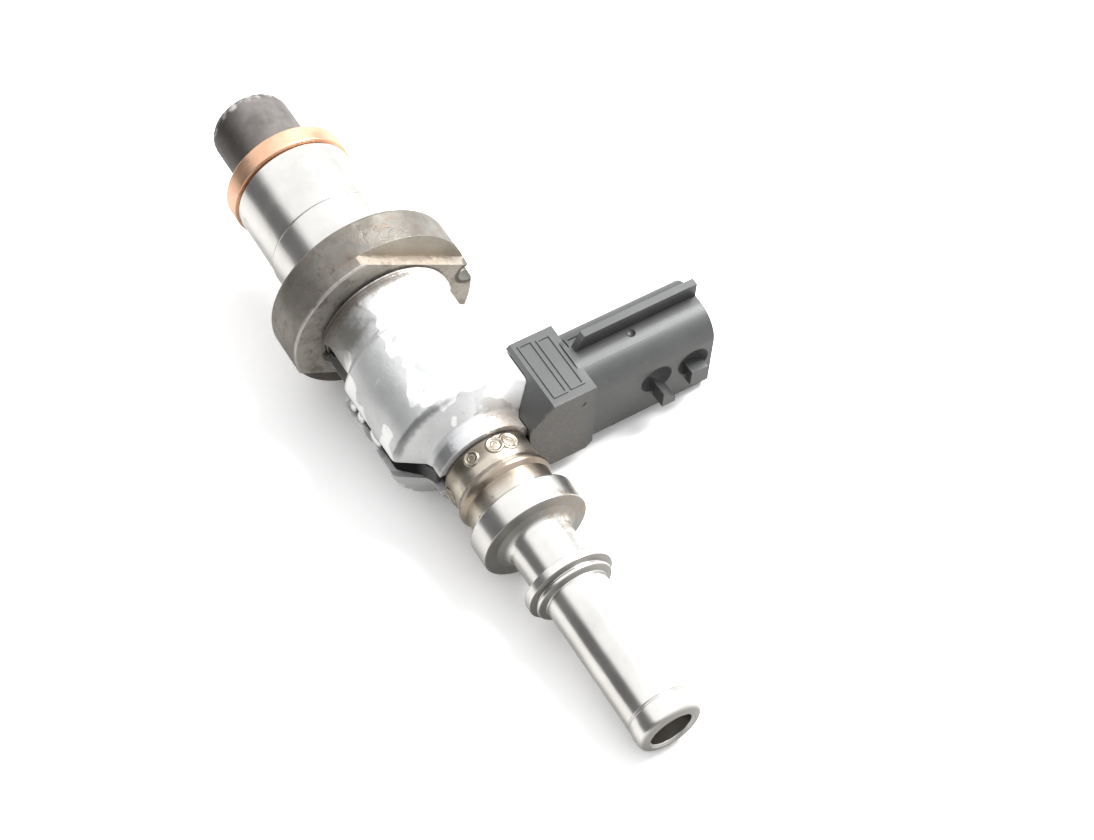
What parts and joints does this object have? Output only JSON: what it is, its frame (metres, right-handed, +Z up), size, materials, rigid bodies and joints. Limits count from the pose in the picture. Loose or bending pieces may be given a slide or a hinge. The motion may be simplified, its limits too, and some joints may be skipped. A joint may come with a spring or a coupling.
{
  "type": "fuel injector",
  "caption": "Solenoid fuel injector with a nozzle cap, copper seat washer, clamp collar, two-piece coil yoke, side plug connector and quick-connect fuel tube.",
  "frame": {"origin": "centre of the flat face at the nozzle's end, on the injector's axis", "axes": "+X along the injector from the nozzle to the fuel inlet, +Y along the side connector towards its mouth, +Z up, across both"},
  "size_m": [0.1025, 0.0446, 0.0248],
  "materials": {
    "sooty_steel": "sooty, rough",
    "copper": "bare copper, lightly tarnished",
    "polished_steel": "turned and polished",
    "tarnished_steel": "tarnished and pitted",
    "zinc_sheet": "bright zinc plate, mottled",
    "heat_tinted_steel": "heat tinted straw to brown",
    "inner_steel": "ground",
    "enamelled_copper": "enamelled copper wire",
    "tinned_contact": "tinned",
    "dark_nylon": "dark glass-filled nylon, dusty",
    "pale_nylon": "natural nylon"
  },
  "bodies": {
    "injector_body": {"nozzle_cap": "sooty_steel", "valve_seat": "inner_steel", "copper_washer": "copper", "nozzle_sleeve": "polished_steel", "needle_guide": "inner_steel", "lift_shim": "inner_steel", "valve_housing": "polished_steel", "clamp_collar": "tarnished_steel", "yoke_upper": "zinc_sheet", "yoke_lower": "zinc_sheet", "connector_body": "dark_nylon", "terminal_upper": "tinned_contact", "terminal_lower": "tinned_contact", "coil_bobbin": "pale_nylon", "coil_winding": "enamelled_copper", "valve_tube": "inner_steel", "fixed_core": "inner_steel", "spring_adjuster": "inner_steel", "return_spring": "inner_steel", "inlet_sleeve": "heat_tinted_steel", "retaining_ring": "heat_tinted_steel", "inlet_fitting": "polished_steel", "filter_cage": "pale_nylon", "filter_screen": "inner_steel"},
    "needle_and_armature": {"needle": "inner_steel", "armature": "inner_steel"}
  },
  "joints": [
    {"name": "needle_lift", "type": "slide", "parent": "injector_body", "child": "needle_and_armature", "axis": [1, 0, 0], "range_m": [0, 0.0001], "deforming": ["return_spring"]}
  ]
}
